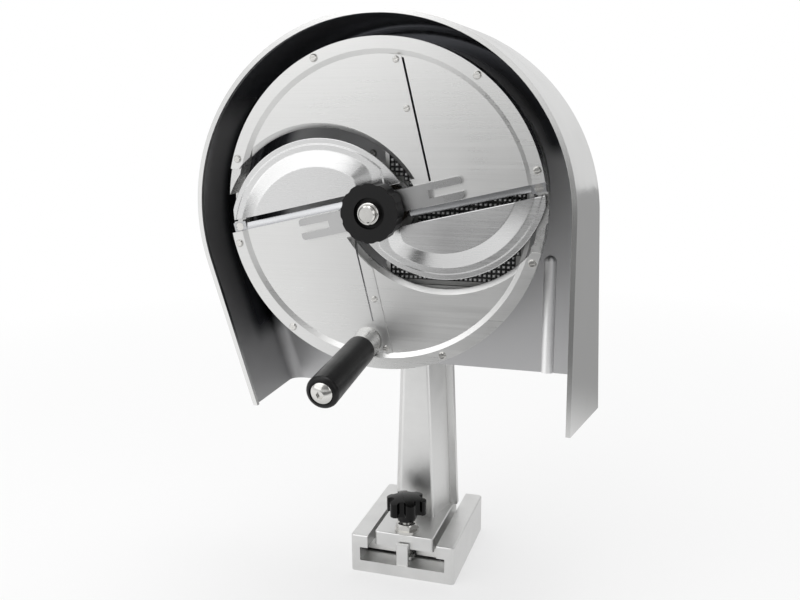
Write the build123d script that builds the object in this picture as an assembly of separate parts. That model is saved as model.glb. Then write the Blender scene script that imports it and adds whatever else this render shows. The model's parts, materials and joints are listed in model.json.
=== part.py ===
from build123d import *
import math
import os

# Hand cranked rotary bean and vegetable slicer. Millimetres, +Z up, -Y towards the user,
# origin at the centre of the underside of the base block.

os.makedirs("parts", exist_ok=True)

# ---------------------------------------------------------------- driving dimensions

# fits
RUN = 0.05            # radial clearance of a running bore
SLIDE = 0.3           # gap between pieces that slide on each other
SEAT = 0.02           # gap that keeps a press of two bodies apart

# base block with its T-slot
BASE_W = 105.0
BASE_D = 127.0
BASE_H = 39.0
BASE_EDGE = 1.8
CHANNEL_W = 70.0      # open channel between the two rails
SLOT_W = 86.0         # wide slot under the rails
SLOT_FLOOR = 12.0
SLOT_TOP = 26.0
STOP_W = 12.0         # stop lug in the mouth of the slot
STOP_T = 5.0

# foot and column casting
FOOT_W = 60.0
FOOT_SETBACK = 7.5    # front of the foot, behind the front of the base
FOOT_FRONT = -BASE_D / 2 + FOOT_SETBACK
FOOT_BACK = 42.0
FOOT_TOP = 42.0
FOOT_PLATE_Z = 27.5   # underside of the part of the foot that overhangs the flange
FLANGE_W = 84.0
FLANGE_BOTTOM = 14.0
FLANGE_FRONT = FOOT_FRONT + 16.0
COLUMN_FRONT = -10.5
COLUMN_DEPTH = 40.0
COLUMN_FLANGE_T = 7.0
COLUMN_FRONT_W = 37.0  # width of the front face at the foot
COLUMN_REAR_W = 54.0   # width of the stem where it meets the rear flange, at the foot
COLUMN_FLANGE_W = 66.0
COLUMN_TAPER = 0.075   # loss of width per millimetre of height
COLUMN_WALL = 5.0
HEAD_H = 10.0
HEAD_W = 74.0
HEAD_FRONT = -5.4
HEAD_BACK = 37.0
HEAD_BOLT_R = 4.0
HEAD_BOLT_REACH = 8.0  # length of the bolts in the casting's foot
HEAD_BOLT_ROWS = (5.0, 20.0)

# clamp screw
CLAMP_Y = FOOT_FRONT + 11.0
CLAMP_STUD_R = 5.0
CLAMP_NUT_AF = 19.0
CLAMP_NUT_H = 9.0
STAR_R = 20.0
STAR_H = 17.0
STAR_LOBES = 6
STAR_NECK_H = 8.0
STAR_NECK_R = 9.0
STAR_GAP = 3.0        # stud left bare between the nut and the neck of the knob
PAD_R = 8.0
PAD_H = 4.0

# slicing disc
AXIS_X = -2.0
AXIS_Z = 370.0
DISC_Y = -114.0       # plane of the front of the disc's rim
DISC_R = 140.0
RIM_W = 10.0
RIM_IN_R = DISC_R - RIM_W   # where the raised rim of the half plates starts
RIM_FOOT_R = RIM_IN_R - 4.0  # where their flat starts to rise
RING_IN_R = RIM_IN_R + 1.0
RING_OUT_R = DISC_R - 0.6
SHEET = 1.5
RIM_RISE = 3.0        # height of the rim above the flat of the half plates
RING_BACK = -20.0
BLADE_ANGLE = 13.0    # tilt of the blade line above the horizontal at rest
BLADE_T = 2.0
BLADE_LAND = 6.6      # distance of a plate's cutting side edge from the blade line
BLADE_EDGE = 12.6     # distance of the cutting edge from the blade line
BLADE_BACK = 8.0      # distance of a blade's back from the blade line
BLADE_IN_R = 24.0
BLADE_OUT_R = RING_IN_R - 3.0
BLADE_TAB_R = RING_OUT_R - 1.4
LOBE_S = 59.0         # centre of the lobe's circle along the blade line
LOBE_N = -16.5        # and across it
CUTOUT_R = 96.5
LIP_W = 4.0           # the edge of the cut-out is bent back at 45 degrees
LIP_END = 18.0        # the lip stops this far from the blade line
TIP_ANGLE = 153.7     # a half plate's pointed end is cut off here, seen from the axis
TIP_SLANT = -15.6     # direction of that cut
STRAP_W = 10.0
STRAP_T = 0.8
TOP_STRAP_S = 42.0
BOTTOM_STRAP_S = -23.5
STRAP_LOW = 13.5
SEAM_W = 1.6          # open seam of a half plate beside its strap
STRAP_INNER_SCREW = 75.0
RING_SCREW_R = DISC_R - 4.4
RING_SCREW_ANGLES = (1.5, 39.6, 101.0, TIP_ANGLE - 4.1)
SCREW_R = 2.0
SCREW_HEAD_R = 3.6
SCREW_HEAD_H = 1.8
SUNK_H = 1.6

# thickness plate behind the spider
FLANGE_R = 88.0
BAND_R = 83.0
DOME_R = 77.5
FLAT_R = 64.5
BAND_RISE = 1.2
DOME_RISE = 7.0
LOBE_CUT = 17.0       # edge of a lobe, from the blade line
LOBE_MAX_R = DISC_R - 1.6
DOME_HUB_S = 1.5      # side of the dome near the hub
DOME_CORNER_R = 15.0
WEB_R = 20.0
PLATE_FRONT = -4.0    # front of the thickness plate's flange at rest
PLATE_BACK_TRAVEL = 7.0
PLATE_FRONT_TRAVEL = 0.6
SLEEVE_R = 11.0
SLEEVE_FLANGE_R = 17.0
SLEEVE_FLANGE_T = 3.0
SLEEVE_FRONT = 18.5

# hub, spider and knob
SPIDER_R = 17.0
SPIDER_FRONT = 9.0
ARM_W = 18.5
ARM_ROOT_H = 8.0
ARM_TIP_H = 4.5
ARM_TIP_R = 74.0
ARM_OFFSET = 3.4
ARM_SLOT_W = 6.5
ARM_SLOT_R = 46.0
ARM_SCREW_S = ARM_SLOT_R - 5.0
PIN_R = 2.5
KNOB_R = 24.7
KNOB_BACK = 9.6
KNOB_FRONT = 27.0
KNOB_RECESS_R = 13.0
KNOB_FLOOR = 21.0
KNOB_FLUTES = 12
KNOB_FLUTE_R = 6.0
KNOB_FLUTE_DEPTH = 0.9
COLLAR_R = 9.3
COLLAR_FRONT = 30.0
SHAFT_FRONT = 33.7
SHAFT_TIP_R = 7.2
SHAFT_R = 10.0
SHAFT_STEP = -19.0
THRUST_R = 16.0
THRUST_T = 4.0

# crank handle
GRIP_FOOT_X = -13.0      # foot of the handle on the disc, to the right of the axis
GRIP_FOOT_Z = -117.5     # and above it
GRIP_LEAN = 6.5       # lean of the handle away from the axis
GRIP_R = 13.9
GRIP_L = 92.0
GRIP_START = 18.0
GRIP_STUD_R = 4.0
BOSS_R1 = 14.0
BOSS_R2 = 10.5
BUTTON_R = 9.3
BUTTON_H = 5.0

# guard, one bent sheet
GUARD_T = 1.5
GUARD_FRONT = -125.4
GUARD_BACK = -13.4    # front of the back wall
GUARD_BEND = 13.0
# the walls open out towards the back: arch radius, drop of its centre below the axis,
# lean of the left wall and lean of the right wall, at the front edge and at the back
GUARD_MOUTH = (165.0, 4.0, 16.3, -0.4)
GUARD_REAR = (173.5, 18.0, 17.0, -2.3)
BEAD_X = 130.0        # pressed bead near the right side of the back wall, from the axis
BEAD_W = 11.5
BEAD_TOP = 318.0
BEAD_RISE = 3.2
GUARD_BOTTOM_FRONT = 188.0
GUARD_BOTTOM_BACK = 180.0
GUARD_SILL = 207.0    # lower edge of the back wall between the legs
GUARD_LEG_X = -95.0
GUARD_SILL_X = -62.0
HEM_T = 4.0
HEM_D = 5.0

# hopper and bearing casting
THROAT_R = 124.0
THROAT_LOW = -66.0
THROAT_HIGH = 64.0
THROAT_LEFT = 5.0
THROAT_HUB_R = 27.0
THROAT_CORNER = 9.0
THROAT_WALL = 3.5
THROAT_FRONT = -15.0
THROAT_BACK = -176.0
TUBE_R = 24.0
TUBE_FRONT = -31.0
TUBE_BACK = -151.0     # the bearing tube ends with the pedestal it stands on
BUSH_WALL = 3.5
BUSH_L = 22.0
BUSH_FLANGE_R = 18.0
BUSH_FLANGE_T = 3.0
BOARD_T = 6.0
BOARD_MARGIN = 12.0
PEDESTAL_W = 68.0
PEDESTAL_FOOT = 6.0    # thickness of the casting's foot below the throat's wall

# pusher
PUSHER_GAP = 0.3
PUSHER_FACE = -17.5
PUSHER_PLATE_T = 5.0
PUSHER_SKIRT = 20.0
PUSHER_WALL = 3.0
TOOTH_PITCH = 9.0
TOOTH_H = 2.2
ROD_R = 7.0
ROD_BACK = -206.0
PUSHER_KNOB_R = 19.0

# ---------------------------------------------------------------- derived places

FRONT = Plane(origin=(AXIS_X, DISC_Y, AXIS_Z), x_dir=(1, 0, 0), z_dir=(0, -1, 0))
PLATE_FLAT = -RIM_RISE                     # front of the half plates' flat
PLATE_REAR = PLATE_FLAT - SHEET
BLADE_REAR = PLATE_REAR - BLADE_T
ARM_HOLE_TOP = PLATE_FLAT + 5.0
RING_FRONT = -SHEET
LOW_RING = PLATE_FRONT - SHEET - PLATE_BACK_TRAVEL - 1.0
PLATE_BACK = PLATE_FRONT - SHEET
BUSH_OUT_R = SHAFT_R + RUN + BUSH_WALL
TIP_BORE_R = SHAFT_TIP_R + RUN
PEDESTAL_H = PEDESTAL_FOOT + THROAT_WALL - THROAT_LOW   # from the disc's axis down to the foot
PEDESTAL_Z = AXIS_Z - PEDESTAL_H
BIG = 400.0


def on_disc(shape):
    """Place a shape drawn in the disc's own frame: X right, Y up, Z towards the user."""
    return FRONT.location * shape


def turned(shape, angle):
    return Rot(0, 0, angle) * shape


def blade_frame(shape):
    """Turn a shape from the blade line's frame into the disc's frame."""
    return turned(shape, BLADE_ANGLE)


def slab(sketch, low, high):
    """Extrude a flat sketch from one height to another."""
    return Pos(0, 0, low) * extrude(sketch, amount=high - low)


def rod(radius, low, high, x=0.0, y=0.0):
    return Pos(x, y, low) * extrude(Circle(radius), amount=high - low)


def band(outer, inner, low, high):
    return slab(Circle(outer) - Circle(inner), low, high)


def half_plane(edge, above=True):
    """A large rectangle on one side of a line across the blade frame's Y axis."""
    if above:
        return Pos(0, edge + BIG / 2) * Rectangle(2 * BIG, BIG)
    return Pos(0, edge - BIG / 2) * Rectangle(2 * BIG, BIG)


def lobe_circle(radius, side):
    """Circle of a lobe: side -1 is the left lobe, side 1 the right one."""
    return Pos(side * LOBE_S, -side * LOBE_N) * Circle(radius)


def both(shape):
    """A shape and its copy half a turn on."""
    return [shape, turned(shape, 180)]


def save(name, *shapes):
    solids = []
    for shape in shapes:
        solids.extend(shape.solids())
    result = solids[0] if len(solids) == 1 else Compound(solids)
    export_step(result, f"parts/{name}.step")
    return result


# ---------------------------------------------------------------- base and column

def make_base():
    body = Pos(0, 0, BASE_H / 2) * Box(BASE_W, BASE_D, BASE_H)
    body = fillet(body.edges().filter_by(Axis.Z), 2 * BASE_EDGE)
    body = fillet(body.faces().sort_by(Axis.Z)[-1].edges(), BASE_EDGE)
    slot_mid = (SLOT_FLOOR + SLOT_TOP) / 2
    body -= Pos(0, 0, slot_mid) * Box(SLOT_W, BASE_D + 2, SLOT_TOP - SLOT_FLOOR)
    channel_mid = (SLOT_FLOOR + BASE_H + 2) / 2
    body -= Pos(0, 0, channel_mid) * Box(CHANNEL_W, BASE_D + 2, BASE_H + 2 - SLOT_FLOOR)
    lug_h = FOOT_PLATE_Z + 6 - SLOT_FLOOR
    lug_y = -BASE_D / 2 + STOP_T / 2 + 1.0
    lug = Pos(0, lug_y, SLOT_FLOOR + lug_h / 2) * Box(STOP_W, STOP_T, lug_h)
    lug = fillet(lug.edges().filter_by(Axis.Z), 1.0)
    return body + lug


def column_section(z, inset=0.0):
    """Plan of the column at a height: a splayed stem in front of a wider rear flange."""
    loss = (z - FOOT_TOP) * COLUMN_TAPER
    front = (COLUMN_FRONT_W - loss) / 2 - inset
    rear = (COLUMN_REAR_W - loss) / 2 - inset
    y0 = COLUMN_FRONT + inset
    y1 = COLUMN_FRONT + COLUMN_DEPTH
    outline = Polyline((-front, y0), (front, y0), (rear, y1), (-rear, y1), close=True)
    return Pos(0, 0, z) * make_face(outline)


def column_flange(z):
    loss = (z - FOOT_TOP) * COLUMN_TAPER
    y1 = COLUMN_FRONT + COLUMN_DEPTH
    plate = Rectangle(COLUMN_FLANGE_W - loss, COLUMN_FLANGE_T)
    return Pos(0, y1 + COLUMN_FLANGE_T / 2, z) * plate


def make_column():
    head_z = PEDESTAL_Z - SEAT
    low = FOOT_TOP - 1.0
    top = head_z - HEAD_H
    stem = loft([column_section(low), column_section(top + 1)], ruled=True)
    stem = fillet(stem.edges().filter_by(lambda e: abs(e.tangent_at(0.5).Z) > 0.9), 3.0)
    stem += loft([column_flange(low), column_flange(top + 1)], ruled=True)
    hollow = loft([column_section(low, COLUMN_WALL), column_section(top + 1, COLUMN_WALL)], ruled=True)
    pocket_low = FOOT_TOP + 14
    pocket_high = top - 10
    window = Pos(0, 0, (pocket_low + pocket_high) / 2) * Box(BIG, BIG, pocket_high - pocket_low)
    stem -= hollow & window
    rear_cut = loft([column_section(low, COLUMN_WALL + 4), column_section(top + 1, COLUMN_WALL + 4)], ruled=True)
    rear_cut = rear_cut & window
    stem -= Pos(0, COLUMN_FLANGE_T + 1, 0) * rear_cut

    foot_d = FOOT_BACK - FOOT_FRONT
    plate_h = FOOT_TOP - FOOT_PLATE_Z
    plate = Pos(0, (FOOT_BACK + FOOT_FRONT) / 2, FOOT_PLATE_Z + plate_h / 2) * Box(FOOT_W, foot_d, plate_h)
    plate = fillet(plate.edges().filter_by(Axis.Z), 3.0)
    plate = fillet(plate.faces().sort_by(Axis.Z)[-1].edges(), 1.5)
    neck_d = FOOT_BACK - FLANGE_FRONT
    neck_y = (FOOT_BACK + FLANGE_FRONT) / 2
    flange_h = SLOT_TOP - SLIDE - FLANGE_BOTTOM
    flange = Pos(0, neck_y, FLANGE_BOTTOM + flange_h / 2) * Box(FLANGE_W, neck_d, flange_h)
    neck_h = FOOT_PLATE_Z + 1 - FLANGE_BOTTOM
    neck = Pos(0, neck_y, FLANGE_BOTTOM + neck_h / 2) * Box(FOOT_W, neck_d, neck_h)
    foot = plate + flange + neck

    head_y = (HEAD_FRONT + HEAD_BACK) / 2
    head = Pos(0, head_y, head_z - HEAD_H / 2) * Box(HEAD_W, HEAD_BACK - HEAD_FRONT, HEAD_H)
    head = fillet(head.edges().filter_by(Axis.Z), 6.0)
    column = foot + stem + head
    column -= rod(CLAMP_STUD_R + 1.0, 0, FOOT_TOP + 1, 0, CLAMP_Y)
    column -= rod(PAD_R + 2, 0, FLANGE_BOTTOM + 5, 0, CLAMP_Y)
    for x, y in head_bolt_places():
        column -= rod(HEAD_BOLT_R, head_z - HEAD_H - 1, head_z + 1, x, y)
    return column


def head_bolt_places():
    x = HEAD_W / 2 - 8
    return [(side * x, y) for side in (-1, 1) for y in HEAD_BOLT_ROWS]


def hexagon(across, height):
    return extrude(RegularPolygon(across / 2, 6, major_radius=False), amount=height)


def make_head_bolts():
    bolts = []
    for x, y in head_bolt_places():
        head = Pos(x, y, PEDESTAL_Z - HEAD_H - SEAT - 5.5) * hexagon(13.0, 5.5)
        shank = rod(HEAD_BOLT_R - RUN, PEDESTAL_Z - HEAD_H - 1, PEDESTAL_Z + HEAD_BOLT_REACH, x, y)
        bolts.append(head + shank)
    return bolts


def make_clamp_nut():
    nut = Pos(0, CLAMP_Y, FOOT_TOP) * hexagon(CLAMP_NUT_AF, CLAMP_NUT_H)
    cone = Pos(0, CLAMP_Y, FOOT_TOP + CLAMP_NUT_H / 2) * Cone(13.0, CLAMP_NUT_AF / 2, CLAMP_NUT_H)
    nut = nut & cone
    nut += rod(12.0, FOOT_TOP, FOOT_TOP + 2.5, 0, CLAMP_Y)
    return nut - rod(CLAMP_STUD_R + RUN, FOOT_TOP - 1, FOOT_TOP + CLAMP_NUT_H + 1, 0, CLAMP_Y)


def make_star_knob():
    z0 = FOOT_TOP + CLAMP_NUT_H + STAR_GAP
    neck = Pos(0, CLAMP_Y, z0 + STAR_NECK_H / 2) * Cone(STAR_NECK_R, STAR_NECK_R + 3, STAR_NECK_H)
    plan = Circle(STAR_R * 0.72)
    for i in range(STAR_LOBES):
        angle = math.radians(i * 360 / STAR_LOBES)
        reach = STAR_R * 0.72
        plan += Pos(reach * math.cos(angle), reach * math.sin(angle)) * Circle(STAR_R * 0.28)
    star = extrude(plan, amount=STAR_H)
    for i in range(STAR_LOBES):
        angle = math.radians((i + 0.5) * 360 / STAR_LOBES)
        scoop = Circle(STAR_R * 0.22)
        place = Pos(STAR_R * 0.86 * math.cos(angle), STAR_R * 0.86 * math.sin(angle), -1)
        star -= place * extrude(scoop, amount=STAR_H + 2)
    dome = Pos(0, 0, STAR_H - 60) * Sphere(60.0)
    star = star & dome
    star = Pos(0, CLAMP_Y, z0 + STAR_NECK_H) * star
    knob = neck + star
    return knob - rod(CLAMP_STUD_R, z0 - 1, z0 + STAR_NECK_H + 8, 0, CLAMP_Y)


def make_clamp_stud():
    z0 = FOOT_TOP + CLAMP_NUT_H + STAR_GAP
    return rod(CLAMP_STUD_R, SLOT_FLOOR + SLIDE + PAD_H + SEAT, z0 + STAR_NECK_H + 8, 0, CLAMP_Y)


def make_clamp_pad():
    return rod(PAD_R, SLOT_FLOOR + SLIDE, SLOT_FLOOR + SLIDE + PAD_H, 0, CLAMP_Y)


# ---------------------------------------------------------------- slicing disc

def make_ring():
    ring = band(RING_OUT_R, RING_IN_R, RING_BACK, RING_FRONT)
    lobe_zone = lobe_circle(CUTOUT_R - 3, 1) & half_plane(-LOBE_CUT + 1.5, above=False)
    seat_zone = half_plane(-LOBE_CUT + 1.4) & half_plane(-BLADE_LAND + 0.2, above=False)
    seat_zone = seat_zone & (Pos(BIG / 2, 0) * Rectangle(BIG, BIG))
    for zone in both(lobe_zone):
        ring -= slab(zone, LOW_RING, 5)
    for zone in both(seat_zone):
        ring -= slab(zone, BLADE_REAR, 5)
    for x, y in ring_screw_places():
        ring -= rod(SCREW_R + RUN, -8, 5, x, y)
    for x, y in blade_tab_places():
        ring -= rod(SCREW_R + RUN, -15, 5, x, y)
    return ring


def ring_screw_places():
    places = []
    for angle in RING_SCREW_ANGLES:
        for turn in (0, 180):
            a = math.radians(angle + turn)
            places.append((RING_SCREW_R * math.cos(a), RING_SCREW_R * math.sin(a)))
    return places


def blade_tab_places():
    s = BLADE_TAB_R - 4.5
    n = -(BLADE_LAND + LOBE_CUT - 2.5) / 2
    return [(s, n), (-s, -n)]


def strap_screw_places():
    places = []
    for s, side in ((TOP_STRAP_S, 1), (BOTTOM_STRAP_S, -1)):
        places.append((s, side * (math.sqrt((RIM_FOOT_R - 0.5) ** 2 - s * s) - 3.5)))
        places.append((s, side * STRAP_INNER_SCREW))
    return places


def arm_screw_places():
    return [(ARM_SCREW_S, ARM_OFFSET), (-ARM_SCREW_S, -ARM_OFFSET)]


def plate_outline():
    """Sheet of the upper half plate, seen from the front in the blade frame."""
    sheet = (Circle(DISC_R) & half_plane(-BLADE_LAND)) - lobe_circle(CUTOUT_R, -1)
    a = math.radians(TIP_ANGLE)
    tip = Pos((DISC_R - 1.2) * math.cos(a), (DISC_R - 1.2) * math.sin(a)) * Rot(0, 0, TIP_SLANT)
    return sheet - tip * Pos(0, -RIM_W * 2) * Rectangle(RIM_W * 5, RIM_W * 4)


def make_half_plate():
    """Pressed sheet: a flat, a slope up to a raised rim, and a lip bent back along the cut-out."""
    profile = Polyline(
        (0, PLATE_REAR), (RIM_FOOT_R + 0.5, PLATE_REAR), (RIM_IN_R + 0.5, RING_FRONT), (DISC_R, RING_FRONT),
        (DISC_R, 0), (RIM_IN_R, 0), (RIM_FOOT_R, PLATE_FLAT), (0, PLATE_FLAT), close=True)
    sheet = revolve(Plane.XZ * make_face(profile), Axis.Z, 360)
    plate = sheet & slab(plate_outline(), PLATE_REAR - 1, 1)
    lip_zone = Circle(RIM_FOOT_R) & half_plane(LIP_END)
    plate -= slab(lobe_circle(CUTOUT_R + LIP_W, -1) & lip_zone, PLATE_REAR - 1, 1)
    fold = SHEET * math.sqrt(2)
    lip_profile = Polyline(
        (CUTOUT_R, PLATE_FLAT - LIP_W), (CUTOUT_R + LIP_W, PLATE_FLAT), (CUTOUT_R + LIP_W, PLATE_REAR),
        (CUTOUT_R + LIP_W - 0.6, PLATE_FLAT - fold - 0.6), (CUTOUT_R, PLATE_FLAT - LIP_W - fold), close=True)
    lip = Pos(-LOBE_S, LOBE_N) * revolve(Plane.XZ * make_face(lip_profile), Axis.Z, 360)
    return plate + (lip & slab(lip_zone, PLATE_FLAT - 20, 1))


def plate_holes(side):
    """Screw holes of a half plate, in the blade frame of the upper plate."""
    holes = [(x, y) for x, y in ring_screw_places() if y * side > -3 or x * side > 130]
    holes += [(x, y) for x, y in strap_screw_places() if y * side > 0]
    holes += [(x, y) for x, y in arm_screw_places() if x * side > 0]
    return holes


def plate_seam(side):
    """Open seam beside the strap: on the right of the upper one and the left of the lower one."""
    if side > 0:
        s = TOP_STRAP_S
        end = math.sqrt(RIM_FOOT_R ** 2 - (s + STRAP_W) ** 2)
    else:
        s = BOTTOM_STRAP_S
        end = math.hypot(GRIP_FOOT_X, GRIP_FOOT_Z) - BOSS_R1 - STRAP_W
    x = s + side * (STRAP_W + SEAM_W) / 2
    return Pos(x, side * (STRAP_LOW + end) / 2) * Rectangle(SEAM_W, end - STRAP_LOW)


def make_plate_piece(side):
    plate = make_half_plate()
    if side < 0:
        plate = turned(plate, 180)
    plate -= slab(plate_seam(side), -30, 5)
    for x, y in plate_holes(side):
        plate -= rod(SCREW_R + RUN, -30, 5, x, y)
    return plate


def make_blade():
    """Straight blade with a ground bevel and a tab on the ring, for the right side."""
    profile = Polyline(
        (BLADE_BACK, BLADE_REAR), (BLADE_BACK, PLATE_REAR), (-BLADE_LAND, PLATE_REAR),
        (-BLADE_EDGE, BLADE_REAR + 0.25), (-BLADE_EDGE, BLADE_REAR), close=True)
    section = Plane.YZ * make_face(profile)
    blade = Pos(BLADE_IN_R, 0, 0) * extrude(section, amount=BLADE_OUT_R - BLADE_IN_R)
    tab_h = LOBE_CUT - 2.5 - BLADE_LAND
    tab_y = -(BLADE_LAND + LOBE_CUT - 2.5) / 2
    tab = Pos((BLADE_OUT_R + BLADE_TAB_R) / 2, tab_y) * Rectangle(BLADE_TAB_R - BLADE_OUT_R + 2, tab_h)
    blade += slab(tab, BLADE_REAR, PLATE_REAR)
    x, y = blade_tab_places()[0]
    blade -= rod(SCREW_R + RUN, -30, 5, x, y) + sunk_head(x, y, PLATE_REAR, RUN)
    x, y = arm_screw_places()[0]
    return blade - rod(SCREW_R + RUN, -30, 5, x, y)


def sunk_head(x, y, top, gap=0.0):
    """Countersunk head of a screw, or the seat for it, flush with a face."""
    return Pos(x, y, top - SUNK_H / 2) * Cone(SCREW_R + gap, SCREW_HEAD_R + gap, SUNK_H)


def screw(x, y, seat, depth, head_r=SCREW_HEAD_R):
    """Round headed screw whose head sits at the given height."""
    head = Pos(x, y, seat + SCREW_HEAD_H / 2) * Cone(head_r, head_r * 0.72, SCREW_HEAD_H)
    slot = Pos(x, y, seat + SCREW_HEAD_H) * Box(2 * head_r, 0.9, 1.2)
    return head - slot + rod(SCREW_R, seat - depth, seat + 0.3, x, y)


def make_ring_screws():
    return [screw(x, y, 0, 7) for x, y in ring_screw_places()]


def make_strap_screws():
    return [screw(x, y, PLATE_FLAT + STRAP_T, 2.0, 3.0) for x, y in strap_screw_places()]


def make_blade_screws():
    """Flush screws of the blades' tabs."""
    screws = []
    for x, y in blade_tab_places():
        slot = Pos(x, y, PLATE_REAR) * Box(2 * SCREW_HEAD_R + 1, 0.9, 1.0)
        screws.append(sunk_head(x, y, PLATE_REAR) - slot + rod(SCREW_R, PLATE_REAR - 7, PLATE_REAR - 1, x, y))
    return screws


def make_arm_screws():
    """Screws that come from behind, through blade and half plate into the arm."""
    screws = []
    for x, y in arm_screw_places():
        head = Pos(x, y, BLADE_REAR - SCREW_HEAD_H / 2) * Cone(SCREW_HEAD_R * 0.72, SCREW_HEAD_R, SCREW_HEAD_H)
        screws.append(head + rod(SCREW_R, BLADE_REAR - 1, ARM_HOLE_TOP - 0.5, x, y))
    return screws


def make_strap(s, side):
    length = RIM_IN_R - STRAP_LOW
    strap = Pos(s, side * (STRAP_LOW + length / 2)) * Rectangle(STRAP_W, length)
    strap = strap & Circle(RIM_FOOT_R - 0.5)
    strap -= lobe_circle(CUTOUT_R + LIP_W + 0.4, -side)
    a = math.radians(-BLADE_ANGLE)
    x = GRIP_FOOT_X * math.cos(a) - GRIP_FOOT_Z * math.sin(a)
    y = GRIP_FOOT_X * math.sin(a) + GRIP_FOOT_Z * math.cos(a)
    strap -= Pos(x, y) * Circle(BOSS_R1 + 0.6)
    for x, y in strap_screw_places():
        strap -= Pos(x, y) * Circle(SCREW_R + RUN)
    return slab(strap, PLATE_FLAT, PLATE_FLAT + STRAP_T)


# ---------------------------------------------------------------- spider, shaft, knob

def make_spider():
    """Hub with two forked arms that carry the half plates."""
    spider = rod(SPIDER_R, PLATE_FLAT + SLIDE, SPIDER_FRONT)
    for turn in (0, 180):
        side = Polyline(
            (8, PLATE_FLAT), (ARM_TIP_R, PLATE_FLAT), (ARM_TIP_R, PLATE_FLAT + ARM_TIP_H),
            (30, PLATE_FLAT + ARM_ROOT_H), (8, PLATE_FLAT + ARM_ROOT_H), close=True)
        arm = extrude(Plane.XZ * make_face(side), amount=ARM_W / 2, both=True)
        plan = Pos((8 + ARM_TIP_R) / 2, 0) * RectangleRounded(ARM_TIP_R - 8, ARM_W, 3.0)
        arm = arm & slab(plan, PLATE_FLAT - 1, SPIDER_FRONT + 5)
        pocket = Pos((ARM_SLOT_R + ARM_TIP_R + 10) / 2, 0) * Rectangle(ARM_TIP_R + 10 - ARM_SLOT_R, ARM_SLOT_W)
        arm -= slab(pocket, PLATE_FLAT - 1, SPIDER_FRONT + 5)
        arm = Pos(0, ARM_OFFSET, 0) * arm
        spider += turned(arm, turn)
    spider -= slab(Circle(WEB_R + 4), PLATE_FLAT - 1, PLATE_FLAT + SLIDE)
    spider -= rod(SLEEVE_R + RUN, -10, 20)
    for x, y in arm_screw_places():
        spider -= rod(SCREW_R + RUN, -10, ARM_HOLE_TOP, x, y)
    pin = Plane.XZ.offset(-SPIDER_R - 5) * Circle(PIN_R)
    spider -= Pos(0, 0, 3) * extrude(pin, amount=2 * SPIDER_R + 10)
    return spider


def make_drive_pin():
    pin = Plane.XZ.offset(-SPIDER_R + 0.5) * Circle(PIN_R)
    return Pos(0, 0, 3) * extrude(pin, amount=2 * SPIDER_R - 1)


def make_shaft():
    rear = ROD_END
    shaft = rod(SHAFT_TIP_R, SHAFT_STEP - 1, SHAFT_FRONT)
    shaft += rod(SHAFT_R, rear, SHAFT_STEP)
    shaft += rod(THRUST_R, TUBE_FRONT + BUSH_FLANGE_T + SLIDE, TUBE_FRONT + BUSH_FLANGE_T + SLIDE + THRUST_T)
    pin = Plane.XZ.offset(-SPIDER_R - 5) * Circle(PIN_R)
    shaft -= Pos(0, 0, 3) * extrude(pin, amount=2 * SPIDER_R + 10)
    shaft = chamfer(shaft.edges().group_by(Axis.Z)[-1], 1.2)
    return shaft


ROD_END = TUBE_BACK - BUSH_FLANGE_T - SLIDE - 12.0


def make_shaft_nut():
    z1 = TUBE_BACK - BUSH_FLANGE_T - SLIDE
    nut = Pos(0, 0, z1 - 10) * hexagon(30.0, 10.0)
    return nut - rod(SHAFT_R, z1 - 12, z1 + 2)


def make_retainer():
    ring = band(COLLAR_R, SHAFT_TIP_R, KNOB_FLOOR + SLIDE, COLLAR_FRONT)
    return chamfer(ring.edges().group_by(Axis.Z)[-1][0], 0.8)


def make_knob():
    plan = Circle(KNOB_R)
    for i in range(KNOB_FLUTES):
        a = math.radians((i + 0.5) * 360 / KNOB_FLUTES)
        reach = KNOB_R + KNOB_FLUTE_R - KNOB_FLUTE_DEPTH
        plan -= Pos(reach * math.cos(a), reach * math.sin(a)) * Circle(KNOB_FLUTE_R)
    knob = slab(plan, KNOB_BACK, KNOB_FRONT)
    crown = Pos(0, 0, KNOB_FRONT - 58) * Sphere(63.0)
    knob = knob & crown
    knob -= rod(KNOB_RECESS_R, KNOB_FLOOR, KNOB_FRONT + 5)
    knob -= rod(TIP_BORE_R, 0, KNOB_FRONT + 5)
    knob -= rod(SLEEVE_R + RUN, 0, SLEEVE_FRONT + PLATE_FRONT_TRAVEL + SLIDE)
    return knob


def lobe_solid(side):
    """Solid whose front is the front of one lobe: flange, band and dome, and its web."""
    keep = half_plane(LOBE_CUT) & Circle(LOBE_MAX_R)
    flange = lobe_circle(FLANGE_R, -1) & keep
    solid = slab(flange, PLATE_FRONT - 6, PLATE_FRONT)
    step = lobe_circle(BAND_R, -1) & keep & (Pos(-BIG / 2 + 8, 0) * Rectangle(BIG, 2 * BIG))
    solid += slab(step, PLATE_FRONT - 6, PLATE_FRONT + BAND_RISE)
    low = dome_outline(DOME_R, DOME_HUB_S, DOME_CORNER_R)
    high = dome_outline(FLAT_R, DOME_HUB_S + DOME_R - FLAT_R, DOME_CORNER_R * 0.5)
    z0 = PLATE_FRONT + BAND_RISE
    z1 = PLATE_FRONT + DOME_RISE
    dome = loft([Pos(0, 0, z0) * low, Pos(0, 0, z1) * high], ruled=True)
    dome = dome & slab(keep, z0 - 1, z1 + 1)
    solid += dome
    return solid if side < 0 else turned(solid, 180)


def dome_outline(radius, hub_side, corner):
    """Circle of the dome, cut straight on the hub's side, and run on past the blade's slot."""
    cut = Pos(-BIG / 2 - hub_side, 0) * Rectangle(BIG, 2 * BIG)
    face = lobe_circle(radius, -1) & cut & half_plane(LOBE_CUT - 20)
    tips = face.vertices().sort_by(Axis.X)[-2:]
    upper = tips.sort_by(Axis.Y)[-1]
    return fillet(upper, corner)


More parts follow.
